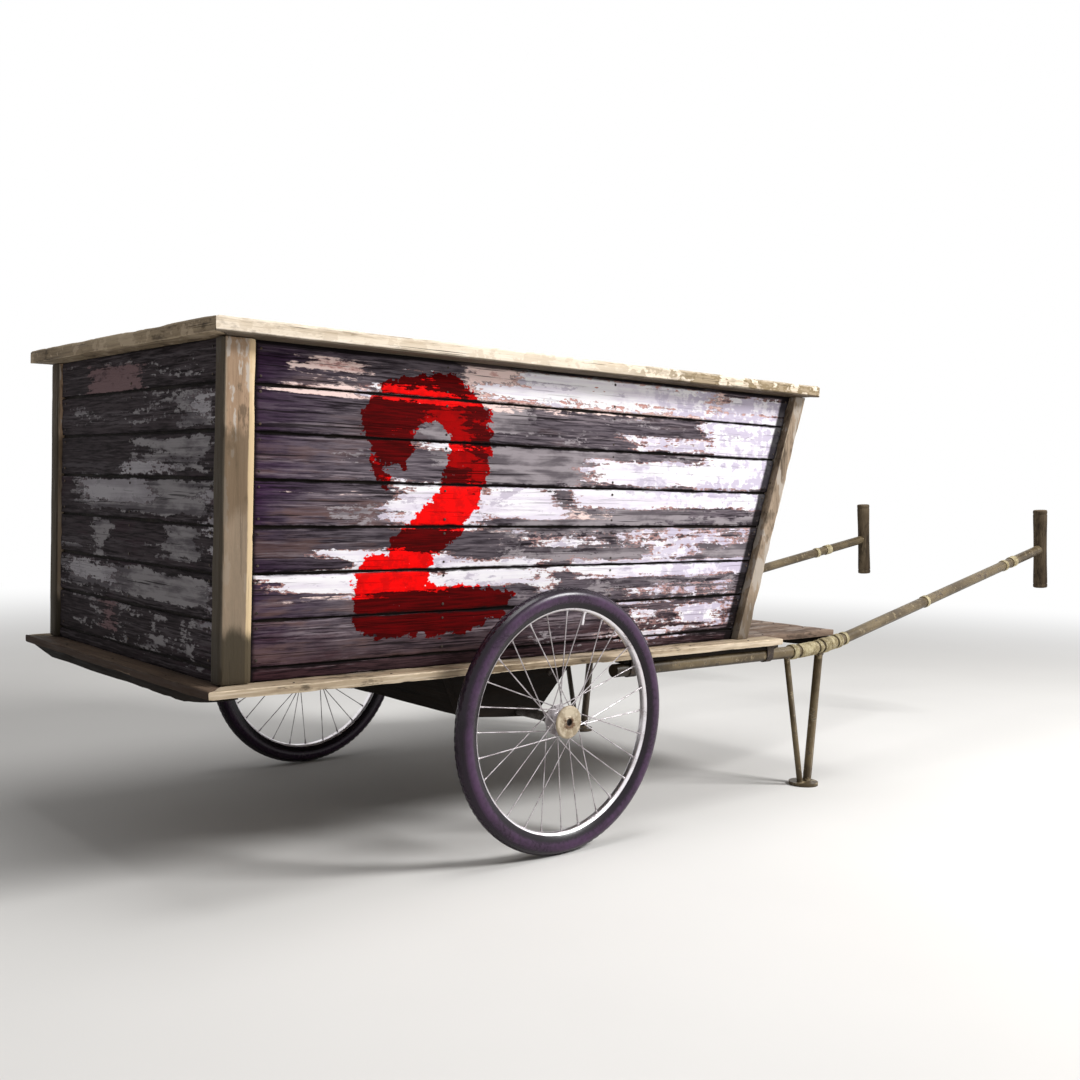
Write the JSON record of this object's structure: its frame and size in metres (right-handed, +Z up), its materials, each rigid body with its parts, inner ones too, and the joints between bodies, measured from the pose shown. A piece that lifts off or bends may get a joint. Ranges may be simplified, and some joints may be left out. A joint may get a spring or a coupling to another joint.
{
  "type": "two-wheeled plank handcart",
  "caption": "Open-topped plank handcart on spoked bicycle-type wheels, with bent tube shafts, upright cross grips and a pair of parking stands.",
  "frame": {"origin": "on the ground, under the centre of the bounding box of the parked cart", "axes": "+X forward to the grips, +Y to the cart's left along the axle, +Z up"},
  "size_m": [3.6762, 1.29, 1.233],
  "materials": {
    "peeling_planks": "weathered boards with peeling white paint and a red numeral",
    "dark_planks": "dark weathered boards with worn grey paint",
    "pale_timber": "worn pale sawn timber",
    "floor_timber": "scuffed brown boards",
    "under_timber": "dark rough timber",
    "grip_wood": "hand-polished dark wood",
    "khaki_tube": "worn khaki paint",
    "axle_steel": "dull dark steel",
    "wheel_steel": "bright plated steel",
    "cap_cream": "cream paint",
    "tyre_rubber": "black rubber"
  },
  "bodies": {
    "cart": {"axle": "axle_steel", "bearers_front": "under_timber", "bearers_rear": "under_timber", "bindings_left": "khaki_tube", "bindings_right": "khaki_tube", "blocks_left": "under_timber", "blocks_right": "under_timber", "bolster_board_bottom": "under_timber", "bolster_board_front": "under_timber", "bolster_board_rear": "under_timber", "bolster_cheek_left": "under_timber", "bolster_cheek_right": "under_timber", "cleat_front": "under_timber", "cleat_rear": "under_timber", "cleats_left": "under_timber", "cleats_right": "under_timber", "floor_boards": "floor_timber", "grip_left": "grip_wood", "grip_right": "grip_wood", "ledge_left": "pale_timber", "ledge_rear": "pale_timber", "ledge_right": "pale_timber", "planks_front": "peeling_planks", "planks_left": "peeling_planks", "planks_rear": "dark_planks", "planks_right": "peeling_planks", "post_front_left": "pale_timber", "post_front_right": "pale_timber", "post_rear_left": "pale_timber", "post_rear_right": "pale_timber", "rim_front": "pale_timber", "rim_left": "pale_timber", "rim_rear": "pale_timber", "rim_right": "pale_timber", "shaft_left": "khaki_tube", "shaft_right": "khaki_tube", "stand_left": "khaki_tube", "stand_right": "khaki_tube", "straps_left": "axle_steel", "straps_right": "axle_steel"},
    "wheel_left": {"tyre_left": "tyre_rubber", "rim_wheel_left": "wheel_steel", "hub_left": "wheel_steel", "hub_cap_left": "cap_cream"},
    "wheel_right": {"tyre_right": "tyre_rubber", "rim_wheel_right": "wheel_steel", "hub_right": "wheel_steel", "hub_cap_right": "cap_cream"}
  },
  "joints": [
    {"name": "wheel_left_spin", "type": "hinge", "parent": "cart", "child": "wheel_left", "pos_m": [-0.93108, 0.621, 0.33], "axis": [0, 1, 0], "continuous": true},
    {"name": "wheel_right_spin", "type": "hinge", "parent": "cart", "child": "wheel_right", "pos_m": [-0.93108, -0.621, 0.33], "axis": [0, 1, 0], "continuous": true}
  ]
}
